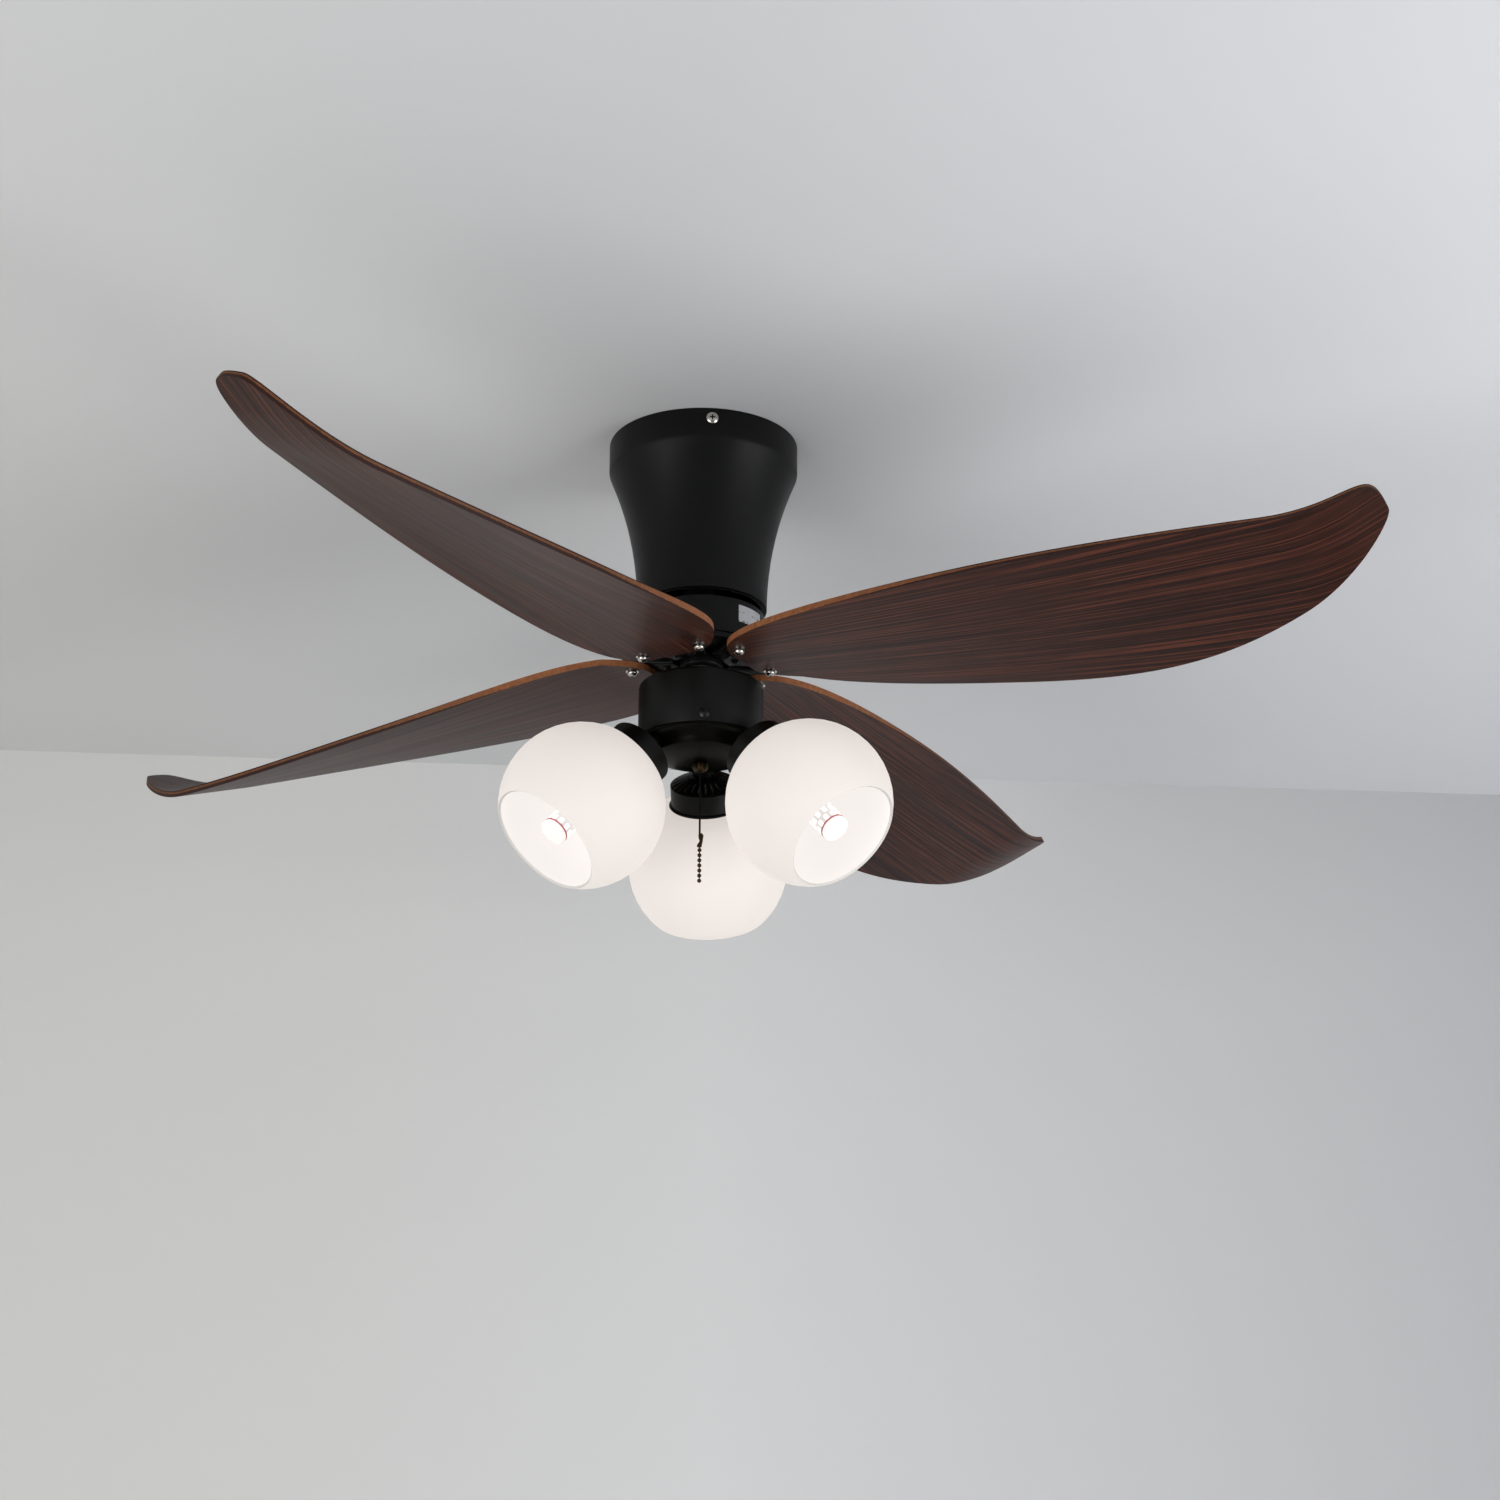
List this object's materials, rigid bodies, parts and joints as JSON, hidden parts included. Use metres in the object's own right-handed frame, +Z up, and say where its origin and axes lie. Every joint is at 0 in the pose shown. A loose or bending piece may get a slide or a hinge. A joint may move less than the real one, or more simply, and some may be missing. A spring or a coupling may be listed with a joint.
{
  "type": "ceiling fan with light",
  "caption": "Flush ceiling fan with twisted dark wood blades, a black motor housing and tilted opal glass globe lamps over a bead pull chain.",
  "frame": {"origin": "the fan's axis at the ceiling, on the ceiling plate's upper face", "axes": "+Z up, +X towards the viewer's right, +Y away from the viewer"},
  "size_m": [1.1342, 1.1342, 0.4474],
  "materials": {
    "black_paint": "matt black powder coat",
    "black_screw": "blackened screw heads",
    "zinc_steel": "zinc-plated pressed steel",
    "cast_aluminium": "as-cast, lightly tumbled",
    "bare_steel": "turned bright steel",
    "lamination": "stacked electrical steel",
    "copper_winding": "enamelled copper wire, taped and varnished",
    "black_plastic": "moulded black plastic",
    "aged_brass": "dark aged brass",
    "walnut": "dark walnut veneer, satin lacquer",
    "bright_screw": "satin nickel",
    "cord": "braided black cord",
    "socket_porcelain": "white moulded socket",
    "opal_glass": "white opal glass, satin etched",
    "bulb_plastic": "white moulded bulb housing",
    "led_column": "clear cover over warm LEDs"
  },
  "bodies": {
    "root": {"ceiling_plate": "zinc_steel", "canopy": "black_paint", "canopy_screws": "bright_screw", "down_rod": "zinc_steel", "rod_pins": "zinc_steel", "motor_yoke": "cast_aluminium", "motor_shaft": "bare_steel", "stator_core": "lamination", "stator_windings": "copper_winding", "receiver_box": "black_plastic", "neck_collar": "bare_steel", "switch_housing": "black_paint", "shaft_nut": "zinc_steel", "housing_screws": "black_screw", "light_pan": "black_paint", "capacitor": "black_plastic", "pull_switch": "black_plastic", "chain_bushing": "aged_brass", "lamp_cup_right": "black_paint", "lamp_socket_right": "socket_porcelain", "shade_ring_right": "black_plastic", "glass_globe_right": "opal_glass", "bulb_base_right": "bulb_plastic", "led_column_right": "led_column", "bulb_cap_right": "bulb_plastic", "lamp_cup_back": "black_paint", "lamp_socket_back": "socket_porcelain", "shade_ring_back": "black_plastic", "glass_globe_back": "opal_glass", "bulb_base_back": "bulb_plastic", "led_column_back": "led_column", "bulb_cap_back": "bulb_plastic", "lamp_cup_left": "black_paint", "lamp_socket_left": "socket_porcelain", "shade_ring_left": "black_plastic", "glass_globe_left": "opal_glass", "bulb_base_left": "bulb_plastic", "led_column_left": "led_column", "bulb_cap_left": "bulb_plastic"},
    "rotor": {"rotor_shell": "black_paint", "bottom_cover": "black_paint", "rotor_cage": "lamination", "bearings": "bare_steel", "blade_hub": "black_paint", "arm_screws": "black_screw", "blade_screws": "bright_screw", "blade_washers": "bright_screw", "blade_arm_1": "black_paint", "blade_1": "walnut", "blade_arm_2": "black_paint", "blade_2": "walnut", "blade_arm_3": "black_paint", "blade_3": "walnut", "blade_arm_4": "black_paint", "blade_4": "walnut"},
    "pull": {"pull_cord": "cord", "cord_coupler": "aged_brass", "ball_chain": "aged_brass"}
  },
  "joints": [
    {"name": "rotor_spin", "type": "hinge", "parent": "root", "child": "rotor", "pos_m": [0, 0, -0.2], "axis": [0, 0, 1], "continuous": true},
    {"name": "pull_slide", "type": "slide", "parent": "root", "child": "pull", "axis": [0, 0, -1], "range_m": [0, 0.008], "stiffness_N_per_m": 150}
  ]
}
